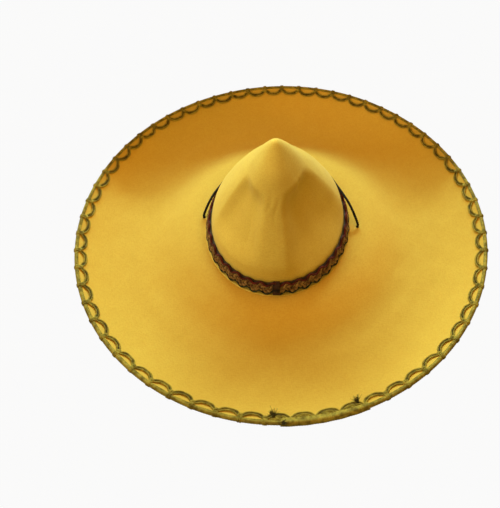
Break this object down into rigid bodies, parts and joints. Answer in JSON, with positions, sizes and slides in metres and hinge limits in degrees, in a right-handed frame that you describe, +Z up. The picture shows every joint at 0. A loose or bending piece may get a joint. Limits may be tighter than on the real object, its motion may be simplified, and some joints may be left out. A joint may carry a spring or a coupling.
{
  "type": "sombrero",
  "caption": "Wide-brimmed felt sombrero with a pinched cone crown, scalloped metallic edge braid, woven hatband and a swinging chin cord with a slider.",
  "frame": {"origin": "centre of the flat ring under the brim that the hat rests on", "axes": "+Z up along the crown, +X and -X through the two chin cord holes, -Y towards the side where the braids join"},
  "size_m": [0.54, 0.5402, 0.1737],
  "materials": {
    "yellow_felt": "matt pressed felt",
    "yellow_thread": "matt sewing thread",
    "sweatband_cloth": "ribbed woven tape",
    "edge_wire": "drawn wire",
    "olive_gimp": "metallic wrapped cord",
    "dark_gimp": "dark wrapped cord",
    "bronze_gimp": "metallic interlaced strands",
    "maroon_gimp": "wrapped cord",
    "green_gimp": "dark wrapped cord",
    "black_cord": "round braided cord",
    "slider_leather": "smooth dyed leather"
  },
  "bodies": {
    "hat": {"brim_felt": "yellow_felt", "crown_felt": "yellow_felt", "crown_seam_stitches": "yellow_thread", "sweatband": "sweatband_cloth", "sweatband_stitches": "yellow_thread", "brim_edge_wire": "edge_wire", "wire_splice_sleeve": "edge_wire", "edge_braid_foot": "olive_gimp", "edge_braid_outer_strands": "olive_gimp", "edge_braid_inner_strands": "olive_gimp", "edge_braid_ties": "dark_gimp", "edge_braid_join": "olive_gimp", "hatband_core": "bronze_gimp", "hatband_upper_cord": "maroon_gimp", "hatband_lower_cord": "green_gimp", "hatband_join": "dark_gimp", "chin_cord_over": "black_cord"},
    "chin_loop": {"chin_cord_left": "black_cord", "chin_cord_right": "black_cord", "cord_end_knot": "black_cord"},
    "slider": {"cord_slider": "slider_leather"}
  },
  "joints": [
    {"name": "chin_loop_swing", "type": "hinge", "parent": "hat", "child": "chin_loop", "pos_m": [0, 0, 0.016], "axis": [-1, 0, 0], "range_deg": [0, 168]},
    {"name": "slider_travel", "type": "slide", "parent": "chin_loop", "child": "slider", "axis": [0, 0.9962, -0.0872], "range_m": [-0.011, 0.009]}
  ]
}
